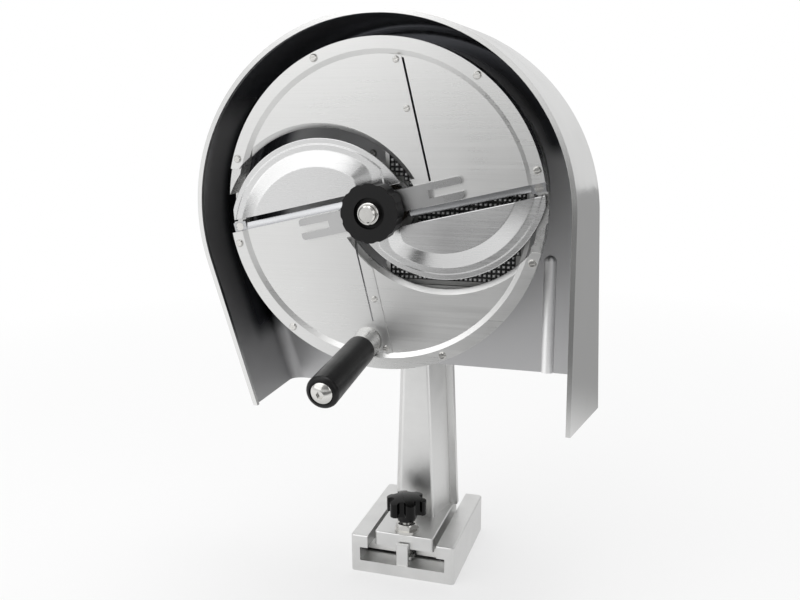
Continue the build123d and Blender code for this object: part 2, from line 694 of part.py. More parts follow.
def make_thickness_plate():
    solid = slab(Circle(WEB_R), PLATE_FRONT - 6, PLATE_FRONT)
    neck = Pos(0, 0) * Rectangle(2 * 10.0, 2 * LOBE_CUT + 4)
    solid += slab(neck, PLATE_FRONT - 6, PLATE_FRONT)
    solid += lobe_solid(-1)
    solid += lobe_solid(1)
    plate = solid - Pos(0, 0, -SHEET) * solid
    plate = plate & slab(Circle(LOBE_MAX_R + 5), PLATE_BACK - 0.001, 20)
    return plate - rod(SLEEVE_R + RUN, -30, 30)


def make_sleeve():
    """Threaded sleeve of the thickness plate: it slides on the shaft through the spider."""
    sleeve = rod(SLEEVE_R, PLATE_BACK - SLEEVE_FLANGE_T, SLEEVE_FRONT)
    sleeve += rod(SLEEVE_FLANGE_R, PLATE_BACK - SLEEVE_FLANGE_T, PLATE_BACK)
    sleeve -= rod(TIP_BORE_R, -30, 40)
    slot_low = 3 - PIN_R - PLATE_FRONT_TRAVEL - SLIDE
    slot_high = 3 + PIN_R + PLATE_BACK_TRAVEL + SLIDE
    slot = Pos(0, 0, (slot_low + slot_high) / 2) * Box(2 * PIN_R + 0.1, 60, slot_high - slot_low)
    return sleeve - slot


# ---------------------------------------------------------------- crank handle

def handle_frame():
    """Foot of the handle on the disc's flat, leaning straight away from the axis."""
    reach = math.hypot(GRIP_FOOT_X, GRIP_FOOT_Z)
    ux, uy = GRIP_FOOT_X / reach, GRIP_FOOT_Z / reach
    tilt = math.radians(GRIP_LEAN)
    z_dir = (ux * math.sin(tilt), uy * math.sin(tilt), math.cos(tilt))
    return Plane(origin=(GRIP_FOOT_X, GRIP_FOOT_Z, PLATE_FLAT), x_dir=(-uy, ux, 0), z_dir=z_dir)


def on_handle(shape):
    return handle_frame().location * shape


def make_boss():
    boss = Pos(0, 0, GRIP_START / 2) * Cone(BOSS_R1, BOSS_R2, GRIP_START + 6)
    boss = Pos(0, 0, -1.5) * boss
    boss = boss & rod(40, -5, GRIP_START - SLIDE)
    boss -= rod(GRIP_STUD_R, -10, 40)
    boss = on_handle(boss) & slab(Rectangle(BIG, BIG), PLATE_FLAT, 60)
    return boss - band(BIG, RIM_FOOT_R - SEAT, PLATE_FLAT - 1, SEAT)


def make_stud():
    stud = rod(GRIP_STUD_R, -1.0, GRIP_START + GRIP_L + SLIDE)
    stud = on_handle(stud)
    return stud & slab(Rectangle(BIG, BIG), PLATE_FLAT, 200)


def make_grip():
    end = GRIP_START + GRIP_L
    r = GRIP_R
    line = Polyline((GRIP_STUD_R + RUN, GRIP_START), (r - 2.4, GRIP_START))
    arc1 = ThreePointArc((r - 2.4, GRIP_START), (r - 1.4, GRIP_START + 0.5), (r - 0.9, GRIP_START + 1.8))
    side = Line((r - 0.9, GRIP_START + 1.8), (r, end - 4))
    arc2 = ThreePointArc((r, end - 4), (r - 1.1, end - 1.2), (r - 3.6, end))
    rest = Polyline((r - 3.6, end), (BUTTON_R + 0.8, end), (BUTTON_R + 0.8, end - 1.6),
                    (GRIP_STUD_R + RUN, end - 1.6), (GRIP_STUD_R + RUN, GRIP_START))
    face = make_face(Wire([*line.edges(), *arc1.edges(), *side.edges(), *arc2.edges(), *rest.edges()]))
    return on_handle(revolve(Plane.XZ * face, Axis.Z, 360))


def make_button():
    end = GRIP_START + GRIP_L - 1.6 + SLIDE
    dome = Pos(0, 0, end + BUTTON_H - 13.0) * Sphere(13.0)
    head = rod(BUTTON_R, end, end + BUTTON_H) & dome
    head -= Pos(0, 0, end + BUTTON_H - 2.6) * hexagon(5.5, 5)
    return on_handle(head - rod(GRIP_STUD_R, -10, GRIP_START + GRIP_L + SLIDE))


# ---------------------------------------------------------------- guard

def guard_outline(shape, inset, y):
    """Closed outline of the guard at one depth: an arch on two leaning walls, offset inwards."""
    radius, drop, left, right = shape
    cx, cz = AXIS_X, AXIS_Z - drop
    r = radius - inset
    foot_z = GUARD_BOTTOM_BACK - 20
    feet = []
    tangents = []
    for side, lean in ((-1, left), (1, right)):
        a = math.radians(lean)
        tx = cx + side * r * math.cos(a)
        tz = cz - r * math.sin(a)
        tangents.append((tx, y, tz))
        feet.append((tx - side * math.tan(a) * (tz - foot_z), y, foot_z))
    arc = ThreePointArc(tangents[0], (cx, y, cz + r), tangents[1])
    rest = Polyline(tangents[1], feet[1], feet[0], tangents[0])
    return Wire([*arc.edges(), *rest.edges()])


def guard_form(inset, front, back):
    """Solid between the guard's mouth and its back, offset inwards; the depths may run past both."""
    depth = GUARD_BACK + GUARD_T - GUARD_FRONT

    def at(y):
        t = (y - GUARD_FRONT) / depth
        return tuple(m + (r - m) * t for m, r in zip(GUARD_MOUTH, GUARD_REAR))

    wires = [guard_outline(at(y), inset, y) for y in (front, back)]
    return Solid.make_loft(wires, True)


def wall_slab(sketch, y_front, y_back):
    """Extrude a sketch drawn in world X and Z from one Y to another."""
    return extrude(Plane(origin=(0, y_back, 0), x_dir=(1, 0, 0), z_dir=(0, -1, 0)) * sketch,
                   amount=y_back - y_front)


def rear_rim(solid):
    """Edges of the guard's back that are bent, all but the open foot."""
    return [e for e in solid.faces().sort_by(Axis.Y)[-1].edges() if e.center().Z > GUARD_BOTTOM_BACK - 19]


def make_bead(inset):
    """Half round bead that stands out of the back wall and ends in a round top."""
    x = AXIS_X + BEAD_X
    w = BEAD_W / 2 - inset
    rise = BEAD_RISE - inset
    r = (w * w + rise * rise) / (2 * rise)
    y = GUARD_BACK - rise + r
    bar = Pos(x, y, BEAD_TOP - w - 200) * extrude(Circle(r), amount=200)
    end = Pos(x, y, BEAD_TOP - w) * Sphere(r)
    return (bar + end) & wall_slab(Pos(x, BEAD_TOP - 150) * Rectangle(60, 400), GUARD_BACK - 10, GUARD_BACK)


def make_guard():
    back = GUARD_BACK + GUARD_T
    shell = guard_form(0, GUARD_FRONT, back)
    shell = fillet(rear_rim(shell), GUARD_BEND)
    core = guard_form(GUARD_T, GUARD_FRONT - 5, GUARD_BACK)
    core = fillet(rear_rim(core), GUARD_BEND - GUARD_T)
    shell -= core
    hem = guard_form(0.3, GUARD_FRONT, GUARD_FRONT + HEM_D)
    hem -= guard_form(HEM_T, GUARD_FRONT - 1, GUARD_FRONT + HEM_D + 1)
    shell += hem
    shell += make_bead(0)
    hollow = Pos(0, 0.01, 0) * make_bead(GUARD_T)
    shell -= hollow
    shell -= Pos(0, GUARD_T, 0) * hollow
    shell -= guard_bottom_cut()
    shell -= on_disc(slab(casting_section(THROAT_WALL + 0.4), THROAT_BACK, 0))
    shell -= on_disc(rod(TUBE_R + 0.4, THROAT_BACK, 0))
    for x, y in guard_screw_places():
        shell -= on_disc(rod(SCREW_R + RUN, THROAT_BACK, -60, x, y))
    return shell


def guard_bottom_cut():
    """Everything below the slanting feet of the walls and the sill of the back wall."""
    side = Polyline(
        (GUARD_FRONT - 5, 0), (GUARD_FRONT - 5, GUARD_BOTTOM_FRONT), (GUARD_FRONT, GUARD_BOTTOM_FRONT),
        (GUARD_BACK + 5, GUARD_BOTTOM_BACK), (GUARD_BACK + 5, 0), close=True)
    cut = extrude(Plane.YZ * make_face(side), amount=BIG, both=True)
    right_x = AXIS_X + GUARD_REAR[0] - 10.0
    sill = Polyline(
        (GUARD_LEG_X, 0), (GUARD_LEG_X, GUARD_BOTTOM_BACK + 2), (GUARD_SILL_X, GUARD_SILL),
        (right_x - 8, GUARD_SILL), (right_x, GUARD_BOTTOM_BACK + 2), (right_x, 0), close=True)
    cut += wall_slab(make_face(sill), GUARD_BACK - BEAD_RISE - 0.5, GUARD_BACK + 5)
    return cut


def guard_screw_places():
    """Screws that hold the guard on the casting's board, disc frame."""
    return [(-38.0, 38.0), (-38.0, -38.0), (45.0, 72.0), (60.0, -74.0)]


def make_guard_screws():
    seat = DISC_Y - GUARD_BACK
    return [screw(x, y, seat, 6.0, 3.8) for x, y in guard_screw_places()]


# ---------------------------------------------------------------- hopper casting

def throat_section():
    """Inside of the feed throat: a half moon to the right of the hub."""
    face = Circle(THROAT_R)
    face = face & (Pos(BIG / 2 + THROAT_LEFT, 0) * Rectangle(BIG, BIG))
    face = face & (Pos(0, (THROAT_LOW + THROAT_HIGH) / 2) * Rectangle(2 * BIG, THROAT_HIGH - THROAT_LOW))
    face -= Circle(THROAT_HUB_R)
    return fillet(face.vertices(), 3.0)


def casting_section(wall):
    return offset(throat_section(), wall)


def make_casting():
    board_front = DISC_Y - (GUARD_BACK + GUARD_T) - SEAT
    outer = casting_section(THROAT_WALL)
    body = slab(outer, THROAT_BACK, THROAT_FRONT)
    body += rod(TUBE_R, TUBE_BACK, TUBE_FRONT)
    board = casting_section(BOARD_MARGIN) + Circle(TUBE_R + 38)
    body += slab(board, board_front - BOARD_T, board_front)
    z_front = DISC_Y - HEAD_FRONT
    z_back = DISC_Y - HEAD_BACK
    pedestal = Pos(-AXIS_X, -PEDESTAL_H / 2) * Rectangle(PEDESTAL_W, PEDESTAL_H)
    body += slab(pedestal, z_back, board_front - 1)
    hollow_h = PEDESTAL_H - PEDESTAL_FOOT - 34
    hollow = Pos(-AXIS_X - PEDESTAL_W / 4 - 2, -hollow_h / 2 - 23) * Rectangle(PEDESTAL_W / 2 - 16, hollow_h)
    body -= slab(hollow, z_back - 1, z_front - 12)
    body -= slab(throat_section(), THROAT_BACK - 1, THROAT_FRONT + 1)
    body -= rod(BUSH_OUT_R, TUBE_BACK - 1, TUBE_FRONT + 1)
    for x, y in guard_screw_places():
        body -= on_board(x, y, board_front)
    body = on_disc(body)
    for x, y in head_bolt_places():
        body -= rod(HEAD_BOLT_R, PEDESTAL_Z - 1, PEDESTAL_Z + HEAD_BOLT_REACH + 0.5, x, y)
    return body


def on_board(x, y, front):
    return rod(SCREW_R + RUN, front - BOARD_T - 5, front + 1, x, y)


def make_bush(front):
    """Flanged bush; front gives the end that carries the flange."""
    bush_r = BUSH_OUT_R
    if front:
        bush = rod(bush_r, TUBE_FRONT - BUSH_L, TUBE_FRONT + BUSH_FLANGE_T)
        bush += rod(BUSH_FLANGE_R, TUBE_FRONT, TUBE_FRONT + BUSH_FLANGE_T)
    else:
        bush = rod(bush_r, TUBE_BACK - BUSH_FLANGE_T, TUBE_BACK + BUSH_L)
        bush += rod(BUSH_FLANGE_R, TUBE_BACK - BUSH_FLANGE_T, TUBE_BACK)
    return bush - rod(SHAFT_R + RUN, TUBE_BACK - 10, TUBE_FRONT + 10)


# ---------------------------------------------------------------- pusher

def tooth_places():
    inner = offset(throat_section(), -PUSHER_GAP - TOOTH_PITCH * 0.42)
    face = inner.faces()[0]
    places = []
    count = int(THROAT_R / TOOTH_PITCH) + 1
    for i in range(count + 1):
        for j in range(-count, count + 1):
            x = THROAT_LEFT + TOOTH_PITCH * (i + 0.5)
            y = TOOTH_PITCH * j
            if face.is_inside((x, y, 0)):
                places.append((x, y))
    return places


def make_pusher():
    front = PUSHER_FACE
    outline = offset(throat_section(), -PUSHER_GAP)
    rear = front - PUSHER_PLATE_T
    block = slab(outline, rear - PUSHER_SKIRT, front)
    block -= slab(offset(throat_section(), -PUSHER_GAP - PUSHER_WALL), rear - PUSHER_SKIRT - 1, rear)
    x, y = rod_place()
    block += rod(ROD_R + 5, rear - 14, rear, x, y)
    block -= rod(ROD_R, rear - 15, rear - 2, x, y)
    return block


def make_teeth():
    """Pyramid studs on the face of the pusher."""
    base = Rectangle(TOOTH_PITCH * 0.86, TOOTH_PITCH * 0.86)
    tooth = loft([base, Pos(0, 0, TOOTH_H) * Rectangle(0.9, 0.9)], ruled=True)
    return [Pos(x, y, PUSHER_FACE) * tooth for x, y in tooth_places()]


def rod_place():
    return (THROAT_LEFT + THROAT_R * 0.5, (THROAT_LOW + THROAT_HIGH) / 2)


def make_pusher_rod():
    x, y = rod_place()
    return rod(ROD_R, ROD_BACK, PUSHER_FACE - PUSHER_PLATE_T - 2, x, y)


def make_pusher_grip():
    x, y = rod_place()
    r = PUSHER_KNOB_R
    low = ROD_BACK - 16
    profile = Polyline((0, low), (r - 6, low))
    arc = ThreePointArc((r - 6, low), (r, low + 10), (r - 5, low + 22))
    tail = Polyline((r - 5, low + 22), (11, low + 34), (0, low + 34), (0, low))
    face = make_face(Wire([*profile.edges(), *arc.edges(), *tail.edges()]))
    grip = Pos(x, y, 0) * revolve(Plane.XZ * face, Axis.Z, 360)
    return grip - rod(ROD_R, ROD_BACK, 0, x, y)


# ---------------------------------------------------------------- build

def build():
    save("base_block", make_base())
    save("column", make_column())
    save("column_bolts", *make_head_bolts())
    save("clamp_nut", make_clamp_nut())
    save("clamp_stud", make_clamp_stud())
    save("clamp_pad", make_clamp_pad())
    save("star_knob", make_star_knob())

    save("disc_ring", on_disc(blade_frame(make_ring())))
    save("upper_half_plate", on_disc(blade_frame(make_plate_piece(1))))
    save("lower_half_plate", on_disc(blade_frame(make_plate_piece(-1))))
    save("right_blade", on_disc(blade_frame(make_blade())))
    save("left_blade", on_disc(blade_frame(turned(make_blade(), 180))))
    save("upper_strap", on_disc(blade_frame(make_strap(TOP_STRAP_S, 1))))
    save("lower_strap", on_disc(blade_frame(make_strap(BOTTOM_STRAP_S, -1))))
    save("ring_screws", *[on_disc(blade_frame(s)) for s in make_ring_screws()])
    save("strap_screws", *[on_disc(blade_frame(s)) for s in make_strap_screws()])
    save("blade_screws", *[on_disc(blade_frame(s)) for s in make_blade_screws()])
    save("arm_screws", *[on_disc(blade_frame(s)) for s in make_arm_screws()])
    save("spider", on_disc(blade_frame(make_spider())))
    save("drive_pin", on_disc(blade_frame(make_drive_pin())))
    save("main_shaft", on_disc(blade_frame(make_shaft())))
    save("shaft_nut", on_disc(make_shaft_nut()))
    save("knob_retainer", on_disc(make_retainer()))
    save("thickness_plate", on_disc(blade_frame(make_thickness_plate())))
    save("thickness_sleeve", on_disc(blade_frame(make_sleeve())))
    save("thickness_knob", on_disc(make_knob()))

    save("crank_boss", on_disc(make_boss()))
    save("crank_stud", on_disc(make_stud()))
    save("crank_grip", on_disc(make_grip()))
    save("crank_button", on_disc(make_button()))

    save("guard", make_guard())
    save("guard_screws", *[on_disc(s) for s in make_guard_screws()])
    save("hopper_casting", make_casting())
    save("front_bush", on_disc(make_bush(True)))
    save("rear_bush", on_disc(make_bush(False)))
    save("pusher_block", on_disc(make_pusher()))
    save("pusher_teeth", *[on_disc(t) for t in make_teeth()])
    save("pusher_rod", on_disc(make_pusher_rod()))
    save("pusher_knob", on_disc(make_pusher_grip()))


build()
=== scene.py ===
import json
import math

import bpy
from bpy.props import FloatProperty, PointerProperty, StringProperty
from mathutils import Matrix, Vector


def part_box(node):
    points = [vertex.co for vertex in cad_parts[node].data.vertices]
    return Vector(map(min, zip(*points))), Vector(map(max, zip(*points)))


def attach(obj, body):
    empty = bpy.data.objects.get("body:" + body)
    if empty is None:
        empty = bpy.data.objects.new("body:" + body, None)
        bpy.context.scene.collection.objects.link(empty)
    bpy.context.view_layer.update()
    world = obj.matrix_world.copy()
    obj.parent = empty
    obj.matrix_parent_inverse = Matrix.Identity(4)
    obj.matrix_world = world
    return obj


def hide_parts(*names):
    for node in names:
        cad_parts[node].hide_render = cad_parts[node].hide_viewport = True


bl_info = {
    "name": "Rotary Slicer Dressing",
    "version": (1, 0, 0),
    "blender": (4, 5, 0),
    "location": "View3D > Sidebar > Slicer",
    "description": "Dresses the CAD frame of a hand cranked rotary slicer for rendering",
    "category": "Object",
}

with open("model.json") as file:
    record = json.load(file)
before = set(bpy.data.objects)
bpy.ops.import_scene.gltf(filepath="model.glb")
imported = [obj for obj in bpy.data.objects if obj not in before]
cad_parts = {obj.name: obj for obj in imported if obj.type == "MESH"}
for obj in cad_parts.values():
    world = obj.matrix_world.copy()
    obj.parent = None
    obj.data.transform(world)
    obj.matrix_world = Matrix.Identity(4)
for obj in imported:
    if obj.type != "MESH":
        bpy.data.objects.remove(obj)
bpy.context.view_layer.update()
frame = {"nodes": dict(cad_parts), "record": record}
BODY_OF = {node: body for body, nodes in frame["record"]["behaviour"]["bodies"].items()
           for node in nodes}

MM = 0.001
AXIS = Vector((-2.0, -114.0, 370.0)) * MM    # centre of the disc's front

# guard
HEM_DEPTH = 5.1 * MM         # folded rim at its mouth
BACK_WALL = -13.4 * MM       # front of its back wall
BEAD_X = 130.0 * MM          # bead pressed into the back wall, from the axis
BEAD_W = 12.5 * MM
FACES_IN = 0.2               # how far a face's normal turns to the axis on the inside
FACES_FRONT = 0.5            # how far it turns to the front on the back wall

# studs of the pusher's face; its edges are measured from the axis
STUD_PITCH = 4.0 * MM
STUD_TIP = 0.5 * MM
STUD_SUNK = 0.05 * MM        # into the block, so that no gap shows
STUD_MARGIN = 0.75 * STUD_PITCH
FACE_LEFT, FACE_LOW, FACE_HIGH = 5.0 * MM, -66.0 * MM, 64.0 * MM
FACE_HUB_R, FACE_RIM_R = 27.0 * MM, 124.0 * MM

# camera, fitted to the photograph
CAMERA_PLACE = (0.2476, -0.8751, 0.4797)
CAMERA_RIGHT = Vector((0.942587, 0.333400, -0.019357))
CAMERA_UP = Vector((-0.066144, 0.243187, 0.967721))
CAMERA_LENS = 43.0
CAMERA_SHIFT = (0.057, 0.0286)

FLOOR_SIZE = 12.0
LAMP_AIM = Vector((0, 0, 0.3))

# the part of a noise texture's range that nearly all of its values lie in
NOISE_SPAN = {"From Min": 0.3, "From Max": 0.7}

# merging of a CAD node's loose triangles
MERGE_DISTANCE = 0.004 * MM
FLAT_ANGLE = 0.4             # faces that turn by less than this, in degrees, become one


# ---------------------------------------------------------------- small tools

def linear(hex_colour):
    """sRGB hex to the linear colour that a shader socket takes."""
    text = hex_colour.lstrip("#")
    parts = [int(text[i:i + 2], 16) / 255 for i in (0, 2, 4)]
    curve = [c / 12.92 if c <= 0.04045 else ((c + 0.055) / 1.055) ** 2.4 for c in parts]
    return (*curve, 1.0)


def fill(tree, node, inputs):
    """Fill a node's inputs with values or links."""
    for key, value in inputs.items():
        if isinstance(value, bpy.types.NodeSocket):
            tree.links.new(value, node.inputs[key])
        else:
            node.inputs[key].default_value = value


def add_node(tree, kind, inputs=None, **settings):
    """Add a node, set its properties and fill its inputs."""
    node = tree.nodes.new(kind)
    for key, value in settings.items():
        setattr(node, key, value)
    fill(tree, node, inputs or {})
    return node


def new_material(name):
    """A material with its node tree and its Principled shader."""
    material = bpy.data.materials.new(name)
    material.use_nodes = True
    return material, material.node_tree, material.node_tree.nodes["Principled BSDF"]


def deselect():
    if bpy.context.object and bpy.context.object.mode != "OBJECT":
        bpy.ops.object.mode_set(mode="OBJECT")
    bpy.ops.object.select_all(action="DESELECT")


def make_active(piece):
    deselect()
    piece.select_set(True)
    bpy.context.view_layer.objects.active = piece


def apply_modifier(piece, kind, **settings):
    make_active(piece)
    modifier = piece.modifiers.new(kind.title(), kind)
    for key, value in settings.items():
        setattr(modifier, key, value)
    bpy.ops.object.modifier_apply(modifier=modifier.name)


def paint(piece, material):
    piece.data.materials.clear()
    piece.data.materials.append(material)


def dress(node, bevel_mm, finish, segments=2, smooth=35.0):
    """Dress a copy of a CAD node and let it ride on the node's own body.

    Its loose triangles are merged. Edges that turn by more than smooth degrees are rounded and
    stay crisp, and the rest is smoothed."""
    piece = bpy.data.objects.new("fine_" + node, frame["nodes"][node].data.copy())
    bpy.context.scene.collection.objects.link(piece)
    make_active(piece)
    bpy.ops.object.mode_set(mode="EDIT")
    bpy.ops.mesh.select_all(action="SELECT")
    bpy.ops.mesh.remove_doubles(threshold=MERGE_DISTANCE)
    bpy.ops.mesh.dissolve_limited(angle_limit=math.radians(FLAT_ANGLE))
    bpy.ops.object.mode_set(mode="OBJECT")
    if bevel_mm > 0:
        apply_modifier(piece, "BEVEL", width=bevel_mm * MM, segments=segments,
                       limit_method="ANGLE", angle_limit=math.radians(smooth),
                       use_clamp_overlap=True, harden_normals=False, miter_outer="MITER_ARC")
    make_active(piece)
    bpy.ops.object.shade_smooth_by_angle(angle=math.radians(smooth))
    apply_modifier(piece, "WEIGHTED_NORMAL", keep_sharp=True, weight=80)
    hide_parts(node)
    paint(piece, MATERIALS[finish])
    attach(piece, BODY_OF[node])
    return piece


# ---------------------------------------------------------------- materials

def polished_stainless(name, look):
    """Bright rolled stainless sheet: sharp reflections, drawn out along the rolling lines."""
    material, tree, shader = new_material(name)
    place = add_node(tree, "ShaderNodeTexCoord")
    # rolling lines run along the machine's depth; drawn 0.8 mm apart so that they show
    turn = add_node(tree, "ShaderNodeMapping", {
        "Vector": place.outputs["Object"], "Scale": (1200, 18, 1200)})
    lines = add_node(tree, "ShaderNodeTexNoise", {
        "Vector": turn.outputs["Vector"], "Scale": 1.0, "Detail": 3.0})
    # wiping marks, about 60 mm across
    marks = add_node(tree, "ShaderNodeTexNoise", {
        "Vector": place.outputs["Object"], "Scale": 16.0, "Detail": 4.0})
    rough = add_node(tree, "ShaderNodeMapRange", {
        "Value": marks.outputs["Fac"], **NOISE_SPAN,
        "To Min": look.guard_roughness - 0.05, "To Max": look.guard_roughness + 0.07})
    bump = add_node(tree, "ShaderNodeBump", {
        "Height": lines.outputs["Fac"], "Strength": 0.10, "Distance": 0.1 * MM})
    fill(tree, shader, {
        "Base Color": linear("DADAD9"), "Metallic": 1.0, "Roughness": rough.outputs["Result"],
        "Normal": bump.outputs["Normal"]})
    return material


def painted_shade_stainless(name, look):
    """The guard's inside: the same sheet, duller and darker, with painted shade on the arch and
    the left bend and painted light at the left wall's mouth.
    """
    material = polished_stainless(name, look)
    tree = material.node_tree
    place = add_node(tree, "ShaderNodeTexCoord")
    at = add_node(tree, "ShaderNodeSeparateXYZ", {"Vector": place.outputs["Object"]})
    # the painted shade starts 122 mm from the axis and is full at 138 mm, so the back wall
    # behind the disc's cut-outs stays light
    flat = add_node(tree, "ShaderNodeCombineXYZ", {"X": at.outputs["X"], "Z": at.outputs["Z"]})
    reach = add_node(tree, "ShaderNodeVectorMath", {
        0: flat.outputs["Vector"], 1: (AXIS.x, 0, AXIS.z)}, operation="DISTANCE")
    parts = {}
    # each part of the inside, with the two places in metres that it grows between
    for part, value, start, full in (
            ("outside", reach.outputs["Value"], 0.122, 0.138),
            ("above", at.outputs["Z"], AXIS.z + 0.030, AXIS.z + 0.050),
            ("inwards", at.outputs["X"], AXIS.x - 0.152, AXIS.x - 0.128),
            ("deep", at.outputs["Y"], -0.080, -0.056),
            ("over_foot", at.outputs["Z"], 0.225, 0.250),
            ("left", at.outputs["X"], AXIS.x - 0.080, AXIS.x - 0.110),
            ("mouth", at.outputs["Y"], -0.100, -0.140),
            ("wall", at.outputs["X"], AXIS.x - 0.140, AXIS.x - 0.158),
            ("upper", at.outputs["Z"], AXIS.z - 0.010, AXIS.z + 0.020)):
        ramp = add_node(tree, "ShaderNodeMapRange", {
            "Value": value, "From Min": start, "From Max": full},
            interpolation_type="SMOOTHSTEP")
        parts[part] = ramp.outputs["Result"]
    # painted shade: the arch above the axis and the left bend; painted light: the left wall's
    # mouth
    for part, kind, one, other in (
            ("arch", "MULTIPLY", "above", "inwards"),
            ("bend", "MULTIPLY", "deep", "over_foot"),
            ("left_bend", "MULTIPLY", "bend", "left"),
            ("both", "MAXIMUM", "arch", "left_bend"),
            ("painted_shade_mask", "MULTIPLY", "both", "outside"),
            ("edge", "MULTIPLY", "mouth", "wall"),
            ("painted_light_mask", "MULTIPLY", "edge", "upper")):
        step = add_node(tree, "ShaderNodeMath", {0: parts[one], 1: parts[other]}, operation=kind)
        parts[part] = step.outputs[0]
    # painted light: the left wall's mouth is made half metallic so that it takes up the lamps'
    # light and shows lighter
    metal = add_node(tree, "ShaderNodeMapRange", {
        "Value": parts["painted_light_mask"], "To Min": 1.0, "To Max": 0.5})
    # painted shade: the inside is C2C2C3, darker than the outside's DADAD9, and dark grey 505155
    # where the painted shade is full
    shade = add_node(tree, "ShaderNodeMix", {
        "Factor": parts["painted_shade_mask"], 6: linear("C2C2C3"), 7: linear("505155")}, data_type="RGBA")
    dull = add_node(tree, "ShaderNodeMapRange", {
        "Value": parts["painted_shade_mask"], "To Min": 0.48, "To Max": 0.25})
    fill(tree, tree.nodes["Principled BSDF"], {
        "Base Color": shade.outputs[2], "Metallic": metal.outputs["Result"],
        "Roughness": dull.outputs["Result"]})
    return material


def brushed_stainless(name, colour, roughness, angle_deg):
    """Stainless sheet brushed with a 180 grit belt: soft streaks across the blade line."""
    material, tree, shader = new_material(name)
    place = add_node(tree, "ShaderNodeTexCoord")
    turn = add_node(tree, "ShaderNodeMapping", {
        "Vector": place.outputs["Object"], "Rotation": (0, math.radians(angle_deg), 0),
        "Scale": (10, 300, 1100)})
    # belt scratches are 0.1 mm wide; drawn 0.9 mm wide so that they show
    lines = add_node(tree, "ShaderNodeTexNoise", {
        "Vector": turn.outputs["Vector"], "Scale": 1.0, "Detail": 4.0})
    # wiping marks, about 45 mm across
    marks = add_node(tree, "ShaderNodeTexNoise", {
        "Vector": place.outputs["Object"], "Scale": 22.0, "Detail": 5.0})
    blend = add_node(tree, "ShaderNodeMath", {
        0: lines.outputs["Fac"], 1: marks.outputs["Fac"]}, operation="ADD")
    rough = add_node(tree, "ShaderNodeMapRange", {
        "Value": blend.outputs["Value"], "From Min": 0.7, "From Max": 1.3,
        "To Min": roughness - 0.04, "To Max": roughness + 0.06})
    tint = add_node(tree, "ShaderNodeMapRange", {
        "Value": lines.outputs["Fac"], **NOISE_SPAN, "To Min": 0.96, "To Max": 1.0})
    shade = add_node(tree, "ShaderNodeMix", {
        "Factor": 1.0, 6: linear(colour), 7: tint.outputs["Result"]},
        data_type="RGBA", blend_type="MULTIPLY")
    bump = add_node(tree, "ShaderNodeBump", {
        "Height": lines.outputs["Fac"], "Strength": 0.05, "Distance": 0.1 * MM})
    fill(tree, shader, {
        "Base Color": shade.outputs[2], "Metallic": 1.0, "Roughness": rough.outputs["Result"],
        "Normal": bump.outputs["Normal"]})
    return material


def cast_aluminium(name, colour, roughness, grain=0.25):
    """Sand cast aluminium, tumbled: a fine grain with slightly duller patches."""
    material, tree, shader = new_material(name)
    place = add_node(tree, "ShaderNodeTexCoord")
    # sand grain of 0.3 mm; drawn at 1 mm so that it shows
    grains = add_node(tree, "ShaderNodeTexNoise", {
        "Vector": place.outputs["Object"], "Scale": 900.0, "Detail": 2.0})
    # patches, about 30 mm across
    patches = add_node(tree, "ShaderNodeTexNoise", {
        "Vector": place.outputs["Object"], "Scale": 35.0, "Detail": 4.0})
    rough = add_node(tree, "ShaderNodeMapRange", {
        "Value": patches.outputs["Fac"], **NOISE_SPAN,
        "To Min": roughness - 0.06, "To Max": roughness + 0.08})
    tint = add_node(tree, "ShaderNodeMapRange", {
        "Value": patches.outputs["Fac"], **NOISE_SPAN, "To Min": 0.88, "To Max": 1.0})
    shade = add_node(tree, "ShaderNodeMix", {
        "Factor": 1.0, 6: linear(colour), 7: tint.outputs["Result"]},
        data_type="RGBA", blend_type="MULTIPLY")
    bump = add_node(tree, "ShaderNodeBump", {
        "Height": grains.outputs["Fac"], "Strength": grain, "Distance": 0.2 * MM})
    fill(tree, shader, {
        "Base Color": shade.outputs[2], "Metallic": 1.0, "Roughness": rough.outputs["Result"],
        "Normal": bump.outputs["Normal"]})
    return material


def valley_shaded_studs(name):
    """Cast studs: painted shade in the valleys between them, lightening to their tips."""
    material = cast_aluminium(name, "FFFFFF", 0.30, 0.1)
    tree = material.node_tree
    tip, root = (corner[1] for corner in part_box("pusher_teeth"))
    place = add_node(tree, "ShaderNodeTexCoord")
    at = add_node(tree, "ShaderNodeSeparateXYZ", {"Vector": place.outputs["Object"]})
    rise = add_node(tree, "ShaderNodeMapRange", {
        "Value": at.outputs["Y"], "From Min": root, "From Max": tip},
        interpolation_type="SMOOTHERSTEP")
    # painted shade: dark grey 303132 at the studs' roots, near white F2F2F2 at their tips
    shade = add_node(tree, "ShaderNodeMix", {
        "Factor": rise.outputs["Result"], 6: linear("303132"), 7: linear("F2F2F2")},
        data_type="RGBA")
    fill(tree, tree.nodes["Principled BSDF"], {"Base Color": shade.outputs[2]})
    return material


def bright_steel(name, colour, roughness):
    """Turned and plated metal of shafts, screws and nuts: clean, with faint handling marks."""
    material, tree, shader = new_material(name)
    place = add_node(tree, "ShaderNodeTexCoord")
    # handling marks, about 5 mm across
    marks = add_node(tree, "ShaderNodeTexNoise", {
        "Vector": place.outputs["Object"], "Scale": 180.0, "Detail": 3.0})
    rough = add_node(tree, "ShaderNodeMapRange", {
        "Value": marks.outputs["Fac"], **NOISE_SPAN,
        "To Min": roughness - 0.05, "To Max": roughness + 0.06})
    fill(tree, shader, {
        "Base Color": linear(colour), "Metallic": 1.0, "Roughness": rough.outputs["Result"]})
    return material


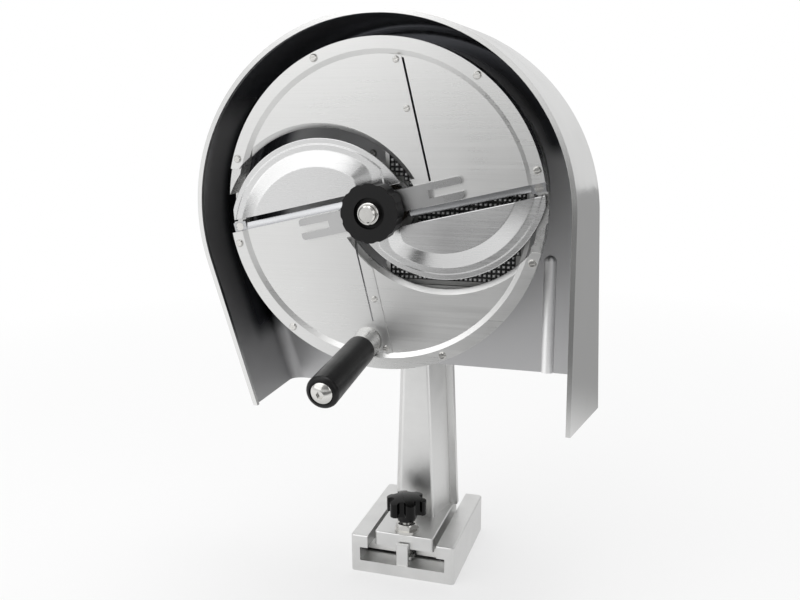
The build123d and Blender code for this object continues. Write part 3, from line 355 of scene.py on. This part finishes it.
def black_plastic(name, colour, roughness, grain_mm, grain, shine=0.3):
    """Moulded black plastic: a dark body with the skin that its mould left."""
    material, tree, shader = new_material(name)
    place = add_node(tree, "ShaderNodeTexCoord")
    skin = add_node(tree, "ShaderNodeTexNoise", {
        "Vector": place.outputs["Object"], "Scale": 1 / (grain_mm * MM), "Detail": 2.0})
    # handling marks, about 17 mm across
    marks = add_node(tree, "ShaderNodeTexNoise", {
        "Vector": place.outputs["Object"], "Scale": 60.0, "Detail": 3.0})
    rough = add_node(tree, "ShaderNodeMapRange", {
        "Value": marks.outputs["Fac"], **NOISE_SPAN,
        "To Min": roughness - 0.05, "To Max": roughness + 0.07})
    bump = add_node(tree, "ShaderNodeBump", {
        "Height": skin.outputs["Fac"], "Strength": grain, "Distance": 0.1 * MM})
    fill(tree, shader, {
        "Base Color": linear(colour), "IOR": 1.5, "Specular IOR Level": shine,
        "Roughness": rough.outputs["Result"], "Normal": bump.outputs["Normal"]})
    return material


# ---------------------------------------------------------------- settings

class SlicerLook(bpy.types.PropertyGroup):
    guard_roughness: FloatProperty(
        name="Guard roughness", description="Roughness of the polished guard",
        default=0.16, min=0, max=1, subtype="FACTOR")
    sheet_roughness: FloatProperty(
        name="Sheet roughness", description="Roughness of the brushed disc plates",
        default=0.30, min=0, max=1, subtype="FACTOR")
    cast_roughness: FloatProperty(
        name="Casting roughness", description="Roughness of the aluminium castings",
        default=0.36, min=0, max=1, subtype="FACTOR")
    edge: FloatProperty(
        name="Casting edge", description="Radius of the castings' edges",
        default=0.0008, min=0, unit="LENGTH")
    plastic_colour: StringProperty(
        name="Plastic colour", description="Colour of the black plastic, as sRGB hex",
        default="#0B0B0C")


class SlicerStage(bpy.types.PropertyGroup):
    key_power: FloatProperty(
        name="Key lamp", description="Power of the large lamp on the left",
        default=34, min=0, unit="POWER")
    fill_power: FloatProperty(
        name="Fill lamp", description="Power of the small lamp on the right",
        default=5, min=0, unit="POWER")
    top_power: FloatProperty(
        name="Top lamp", description="Power of the lamp overhead",
        default=16, min=0, unit="POWER")
    floor_colour: StringProperty(
        name="Floor colour", description="Colour of the paper floor, as sRGB hex",
        default="#E6E6E6")


MATERIALS = {}


def make_materials(look):
    sheet, cast, plastic = look.sheet_roughness, look.cast_roughness, look.plastic_colour
    MATERIALS.update({
        "guard": polished_stainless("Polished stainless sheet", look),
        "inside": painted_shade_stainless("Polished stainless sheet, inside, painted shade and light", look),
        # painted highlight: the bead is a lighter copy of the sheet, F8F8F8 against the inside's
        # C2C2C3
        "bead": brushed_stainless("Stainless bead, painted highlight", "F8F8F8", 0.36, 0),
        "sheet": brushed_stainless("Brushed stainless plates", "DCDCDB", sheet, 13),
        "dome": brushed_stainless("Brushed stainless domes", "D4D4D4", sheet - 0.05, 13),
        "blade": brushed_stainless("Ground blade steel", "B9BABC", 0.20, 103),
        "cast": cast_aluminium("Tumbled cast aluminium", "E6E6E5", cast),
        "hopper": cast_aluminium("Sand cast aluminium", "BFBFBE", cast + 0.06, 0.35),
        "machined": bright_steel("Machined aluminium", "D0D0CF", 0.26),
        "spider": cast_aluminium("Milled aluminium arms", "B6B6B6", 0.27, 0.08),
        "pusher": cast_aluminium("Cast aluminium pusher", "8E8E8D", 0.42, 0.2),
        "studs": valley_shaded_studs("Cast aluminium studs, painted valley shade"),
        "bright": bright_steel("Nickel plated steel", "D0CFCC", 0.16),
        "steel": bright_steel("Turned stainless steel", "BDBDBC", 0.24),
        "phenolic": black_plastic("Phenolic resin", "020202", 0.14, 1.2, 0.03, 0.22),
        "knob": black_plastic("Moulded black nylon", plastic, 0.42, 0.8, 0.12),
        "grip": black_plastic("Satin black ABS", plastic, 0.34, 1.0, 0.10),
        "bronze": bright_steel("Oiled sintered bronze", "6F695F", 0.42),
    })


# ---------------------------------------------------------------- pieces

class SLICER_OT_base(bpy.types.Operator):
    """Dress the base block, the column and their bolts"""
    bl_idname = "slicer.base"
    bl_label = "Base and column"

    def execute(self, context):
        edge = context.scene.slicer_look.edge / MM
        dress("base_block", edge, "cast", segments=3)
        dress("column", edge, "cast", segments=3)
        dress("column_bolts", 0.4, "bright")
        return {"FINISHED"}


class SLICER_OT_clamp(bpy.types.Operator):
    """Dress the star knob, its stud, nut and pad"""
    bl_idname = "slicer.clamp"
    bl_label = "Clamp"

    def execute(self, context):
        dress("star_knob", 3.2, "phenolic", segments=5)
        dress("clamp_nut", 0.4, "bright")
        dress("clamp_stud", 0.3, "steel")
        dress("clamp_pad", 0.6, "steel")
        return {"FINISHED"}


class SLICER_OT_disc(bpy.types.Operator):
    """Dress the ring, the two half plates and the straps"""
    bl_idname = "slicer.disc"
    bl_label = "Disc"

    def execute(self, context):
        dress("disc_ring", 0.4, "machined")
        for half in ("upper", "lower"):
            dress(half + "_half_plate", 0.5, "sheet", smooth=25.0)
        for half in ("upper", "lower"):
            dress(half + "_strap", 0.2, "sheet")
        return {"FINISHED"}


class SLICER_OT_blades(bpy.types.Operator):
    """Dress the two blades"""
    bl_idname = "slicer.blades"
    bl_label = "Blades"

    def execute(self, context):
        for side in ("right", "left"):
            dress(side + "_blade", 0.08, "blade", segments=1)
        return {"FINISHED"}


class SLICER_OT_thickness_plate(bpy.types.Operator):
    """Dress the domed thickness plate and its sleeve"""
    bl_idname = "slicer.thickness_plate"
    bl_label = "Thickness plate"

    def execute(self, context):
        dress("thickness_plate", 0.7, "dome", smooth=15.0)
        dress("thickness_sleeve", 0.3, "steel")
        return {"FINISHED"}


class SLICER_OT_hub(bpy.types.Operator):
    """Dress the spider, the adjusting knob and the shaft"""
    bl_idname = "slicer.hub"
    bl_label = "Hub"

    def execute(self, context):
        dress("spider", 1.1, "spider", segments=3)
        dress("drive_pin", 0.2, "steel")
        dress("thickness_knob", 0.9, "knob", segments=3)
        dress("knob_retainer", 0.3, "bright")
        dress("main_shaft", 0.3, "bright")
        dress("shaft_nut", 0.5, "bright")
        dress("front_bush", 0.3, "bronze")
        dress("rear_bush", 0.3, "bronze")
        return {"FINISHED"}


class SLICER_OT_crank(bpy.types.Operator):
    """Dress the crank handle: boss, stud, grip and end button"""
    bl_idname = "slicer.crank"
    bl_label = "Crank handle"

    def execute(self, context):
        dress("crank_boss", 0.6, "machined")
        dress("crank_stud", 0.0, "steel")
        dress("crank_grip", 0.0, "grip")
        dress("crank_button", 0.3, "bright")
        return {"FINISHED"}


class SLICER_OT_guard(bpy.types.Operator):
    """Dress the bent sheet guard"""
    bl_idname = "slicer.guard"
    bl_label = "Guard"

    def execute(self, context):
        piece = dress("guard", 0.3, "guard")
        # the inside takes the sheet with painted shade and light, and the bead a lighter copy of
        # the sheet as a painted highlight
        for finish in ("inside", "bead"):
            piece.data.materials.append(MATERIALS[finish])
        hem_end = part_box("guard")[0][1] + HEM_DEPTH
        for face in piece.data.polygons:
            outwards = (face.center - AXIS) * Vector((1, 0, 1))
            inner = (outwards.dot(face.normal) < -FACES_IN * outwards.length
                     or face.normal.y < -FACES_FRONT)
            if not inner or face.center.y <= hem_end:
                continue
            # the bead's faces take the lighter copy of the sheet, a painted highlight
            on_bead = (abs(face.center.x - AXIS.x - BEAD_X) < BEAD_W / 2
                       and face.center.y < BACK_WALL - 0.05 * MM and face.center.z < AXIS.z)
            face.material_index = 2 if on_bead else 1
        return {"FINISHED"}


class SLICER_OT_hopper(bpy.types.Operator):
    """Dress the hopper casting and the pusher with its rod and knob"""
    bl_idname = "slicer.hopper"
    bl_label = "Hopper and pusher"

    def execute(self, context):
        dress("hopper_casting", context.scene.slicer_look.edge / MM, "hopper")
        dress("pusher_block", 0.0, "pusher")
        dress("pusher_rod", 0.5, "bright")
        dress("pusher_knob", 0.0, "grip")
        return {"FINISHED"}


class SLICER_OT_studs(bpy.types.Operator):
    """Cover the pusher's face with fine pyramid studs"""
    bl_idname = "slicer.studs"
    bl_label = "Pusher studs"

    def execute(self, context):
        front, back = (corner[1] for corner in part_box("pusher_teeth"))
        height = back - front
        rows = int((FACE_HIGH - FACE_LOW) / STUD_PITCH)
        columns = int((FACE_RIM_R - FACE_LEFT) / STUD_PITCH)
        deselect()
        corner = (AXIS.x + FACE_LEFT + STUD_PITCH / 2, back - height / 2 + STUD_SUNK,
                  AXIS.z + FACE_LOW + STUD_PITCH / 2)
        bpy.ops.mesh.primitive_cone_add(
            vertices=4, radius1=STUD_PITCH / math.sqrt(2), radius2=STUD_TIP, depth=height,
            location=corner, rotation=(math.pi / 2, math.pi / 4, 0))
        studs = context.object
        studs.name = "pusher_face_studs"
        bpy.ops.object.transform_apply(location=True, rotation=True, scale=True)
        per_stud = len(studs.data.vertices)
        for count, step in ((columns, (STUD_PITCH, 0, 0)), (rows, (0, 0, STUD_PITCH))):
            apply_modifier(studs, "ARRAY", count=count, use_relative_offset=False,
                           use_constant_offset=True, constant_offset_displace=step)
        make_active(studs)
        bpy.ops.object.mode_set(mode="EDIT")
        bpy.ops.mesh.select_all(action="DESELECT")
        bpy.ops.object.mode_set(mode="OBJECT")
        # studs that would stand past the face's outline go
        vertices = studs.data.vertices
        for start in range(0, len(vertices), per_stud):
            stud = vertices[start:start + per_stud]
            middle = sum((vertex.co for vertex in stud), Vector()) / per_stud - AXIS
            reach = math.hypot(middle.x, middle.z)
            kept = (FACE_HUB_R + STUD_MARGIN < reach < FACE_RIM_R - STUD_MARGIN
                    and FACE_LOW + STUD_MARGIN < middle.z < FACE_HIGH - STUD_MARGIN)
            for vertex in stud:
                vertex.select = not kept
        bpy.ops.object.mode_set(mode="EDIT")
        bpy.ops.mesh.select_mode(type="VERT")
        bpy.ops.mesh.delete(type="VERT")
        bpy.ops.object.mode_set(mode="OBJECT")
        paint(studs, MATERIALS["studs"])
        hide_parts("pusher_teeth")
        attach(studs, BODY_OF["pusher_teeth"])
        return {"FINISHED"}


class SLICER_OT_screws(bpy.types.Operator):
    """Dress the small screws of the disc and the guard"""
    bl_idname = "slicer.screws"
    bl_label = "Screws"

    def execute(self, context):
        for place in ("ring", "strap", "blade", "arm", "guard"):
            dress(place + "_screws", 0.25, "bright")
        return {"FINISHED"}


# ---------------------------------------------------------------- stage

def place_camera(context):
    camera = bpy.data.cameras.new("Photo camera")
    camera.sensor_width = 36.0
    camera.lens = CAMERA_LENS
    camera.shift_x, camera.shift_y = CAMERA_SHIFT
    camera.clip_end = 20.0
    holder = bpy.data.objects.new("Photo camera", camera)
    axes = Matrix((CAMERA_RIGHT, CAMERA_UP, CAMERA_RIGHT.cross(CAMERA_UP))).transposed()
    holder.matrix_world = Matrix.Translation(CAMERA_PLACE) @ axes.to_4x4()
    context.scene.collection.objects.link(holder)
    context.scene.camera = holder


def paper_floor(colour):
    """Pale paper: it keeps the machine's shadow close by and fades into white further out; to
    the metal's reflections it glows with painted darker patches.
    """
    material, tree, shader = new_material("Pale paper floor, painted reflections")
    fill(tree, shader, {
        "Base Color": linear(colour), "Roughness": 0.9, "Specular IOR Level": 0.1})
    path = add_node(tree, "ShaderNodeLightPath")
    place = add_node(tree, "ShaderNodeTexCoord")
    at = add_node(tree, "ShaderNodeSeparateXYZ", {"Vector": place.outputs["Object"]})
    away = add_node(tree, "ShaderNodeVectorMath", {0: place.outputs["Object"]},
                    operation="LENGTH")
    fade = add_node(tree, "ShaderNodeMapRange", {
        "Value": away.outputs["Value"], "From Min": 0.25, "From Max": 1.3,
        "To Min": 0.6, "To Max": 1.0})
    seen = add_node(tree, "ShaderNodeMath", {
        0: path.outputs["Is Camera Ray"], 1: fade.outputs["Result"]}, operation="MULTIPLY")
    share = add_node(tree, "ShaderNodeMath", {
        0: seen.outputs[0], 1: path.outputs["Is Glossy Ray"]}, operation="MAXIMUM")
    # painted reflection: to glossy rays the floor glows a little darker close by, with two
    # painted dark flags, one behind the machine to the right and one far in front of it
    near = add_node(tree, "ShaderNodeMapRange", {
        "Value": away.outputs["Value"], "From Min": 0.10, "From Max": 0.50,
        "To Min": 0.75, "To Max": 1.12})
    slope = add_node(tree, "ShaderNodeMath", {0: at.outputs["X"], 1: at.outputs["Y"]},
                     operation="DIVIDE")
    painted_flags = []
    for value, edge, inside, depth, start, full in (
            (at.outputs["X"], -0.05, 0.12, 0.66, 0.14, 0.60),
            (slope.outputs[0], 0.38, 0.20, 0.80, -0.50, -0.85)):
        across = add_node(tree, "ShaderNodeMapRange", {
            "Value": value, "From Min": edge, "From Max": inside, "To Max": depth},
            interpolation_type="SMOOTHSTEP")
        along = add_node(tree, "ShaderNodeMapRange", {
            "Value": at.outputs["Y"], "From Min": start, "From Max": full},
            interpolation_type="SMOOTHSTEP")
        painted_flag = add_node(tree, "ShaderNodeMath", {
            0: across.outputs["Result"], 1: along.outputs["Result"]}, operation="MULTIPLY")
        painted_flags.append(painted_flag.outputs[0])
    both = add_node(tree, "ShaderNodeMath", {0: painted_flags[0], 1: painted_flags[1]}, operation="MAXIMUM")
    bright = add_node(tree, "ShaderNodeMath", {0: 1.0, 1: both.outputs[0]}, operation="SUBTRACT")
    painted_reflection = add_node(tree, "ShaderNodeMath", {
        0: near.outputs["Result"], 1: bright.outputs[0]}, operation="MULTIPLY")
    strength = add_node(tree, "ShaderNodeMix", {
        "Factor": path.outputs["Is Glossy Ray"], 2: 1.0, 3: painted_reflection.outputs[0]},
        data_type="FLOAT")
    glow = add_node(tree, "ShaderNodeEmission", {
        "Color": linear("FFFFFF"), "Strength": strength.outputs[0]})
    mix = add_node(tree, "ShaderNodeMixShader", {
        0: share.outputs[0], 1: shader.outputs[0], 2: glow.outputs[0]})
    fill(tree, tree.nodes["Material Output"], {"Surface": mix.outputs[0]})
    return material


def hang_lamps(context, stage):
    for name, place, size, power in (
            ("Key", (-1.3, -1.6, 1.9), 3.0, stage.key_power),
            ("Fill", (1.9, -1.2, 1.1), 1.2, stage.fill_power),
            ("Top", (0.1, 0.2, 2.2), 1.5, stage.top_power)):
        lamp = bpy.data.lights.new(name, "AREA")
        lamp.shape = "SQUARE"
        lamp.size = size
        lamp.energy = power
        spot = bpy.data.objects.new(name, lamp)
        spot.location = place
        spot.rotation_euler = (LAMP_AIM - Vector(place)).to_track_quat("-Z", "Y").to_euler()
        context.scene.collection.objects.link(spot)


def light_room(context):
    """White to the camera; to the metal a room with a bright horizon and ceiling."""
    world = bpy.data.worlds.new("Studio")
    context.scene.world = world
    world.use_nodes = True
    tree = world.node_tree
    path = add_node(tree, "ShaderNodeLightPath")
    place = add_node(tree, "ShaderNodeTexCoord")
    aim = add_node(tree, "ShaderNodeSeparateXYZ", {"Vector": place.outputs["Generated"]})
    # a bright band at the horizon, a darker one above it, and a bright ceiling
    ramp = add_node(tree, "ShaderNodeValToRGB", {"Fac": aim.outputs["Z"]})
    stops = ramp.color_ramp.elements
    stops[0].position, stops[1].position = 0.0, 0.95
    for stop, level in ((stops[0], 0.95), (stops.new(0.12), 0.85), (stops.new(0.34), 0.30),
                        (stops.new(0.62), 0.42), (stops[-1], 0.95)):
        stop.color = (level, level, level, 1)
    # the wall behind the machine is lit evenly
    behind = add_node(tree, "ShaderNodeMapRange", {
        "Value": aim.outputs["Y"], "From Min": 0.0, "From Max": 0.6})
    even = add_node(tree, "ShaderNodeMix", {
        "Factor": behind.outputs["Result"], 6: ramp.outputs["Color"], 7: (0.82, 0.82, 0.82, 1)},
        data_type="RGBA")
    # the right hand side of the room is darker
    dim = add_node(tree, "ShaderNodeMapRange", {
        "Value": aim.outputs["X"], "From Min": 0.15, "From Max": 0.85,
        "To Min": 1.0, "To Max": 0.55})
    room = add_node(tree, "ShaderNodeMix", {
        "Factor": 1.0, 6: even.outputs[2], 7: dim.outputs["Result"]},
        data_type="RGBA", blend_type="MULTIPLY")
    white = add_node(tree, "ShaderNodeMix", {
        "Factor": path.outputs["Is Camera Ray"], 6: room.outputs[2], 7: linear("FFFFFF")},
        data_type="RGBA")
    fill(tree, tree.nodes["Background"], {"Color": white.outputs[2], "Strength": 1.0})


class SLICER_OT_stage(bpy.types.Operator):
    """Set up the camera, the floor, the lamps and the room"""
    bl_idname = "slicer.stage"
    bl_label = "Stage"

    def execute(self, context):
        stage = context.scene.slicer_stage
        place_camera(context)
        deselect()
        bpy.ops.mesh.primitive_plane_add(size=FLOOR_SIZE, location=(0, 0, 0))
        floor = context.object
        floor.name = "stage_floor"
        paint(floor, paper_floor(stage.floor_colour))
        hang_lamps(context, stage)
        light_room(context)
        context.scene.view_settings.view_transform = "Standard"
        return {"FINISHED"}


class SLICER_PT_panel(bpy.types.Panel):
    bl_label = "Rotary slicer"
    bl_idname = "SLICER_PT_panel"
    bl_space_type = "VIEW_3D"
    bl_region_type = "UI"
    bl_category = "Slicer"

    def draw(self, context):
        for group in (context.scene.slicer_look, context.scene.slicer_stage):
            for name in group.__annotations__:
                self.layout.prop(group, name)
        for operator in OPERATORS:
            self.layout.operator(operator.bl_idname)


OPERATORS = (
    SLICER_OT_base, SLICER_OT_clamp, SLICER_OT_disc, SLICER_OT_blades,
    SLICER_OT_thickness_plate, SLICER_OT_hub, SLICER_OT_crank, SLICER_OT_guard,
    SLICER_OT_hopper, SLICER_OT_studs, SLICER_OT_screws, SLICER_OT_stage)
CLASSES = (SlicerLook, SlicerStage) + OPERATORS + (SLICER_PT_panel,)


def register():
    for item in CLASSES:
        bpy.utils.register_class(item)
    bpy.types.Scene.slicer_look = PointerProperty(type=SlicerLook)
    bpy.types.Scene.slicer_stage = PointerProperty(type=SlicerStage)


def unregister():
    del bpy.types.Scene.slicer_stage
    del bpy.types.Scene.slicer_look
    for item in reversed(CLASSES):
        bpy.utils.unregister_class(item)


def main():
    register()
    make_materials(bpy.context.scene.slicer_look)
    for operator in OPERATORS:
        group, name = operator.bl_idname.split(".")
        getattr(getattr(bpy.ops, group), name)()
    deselect()


if __name__ == "__main__":
    main()
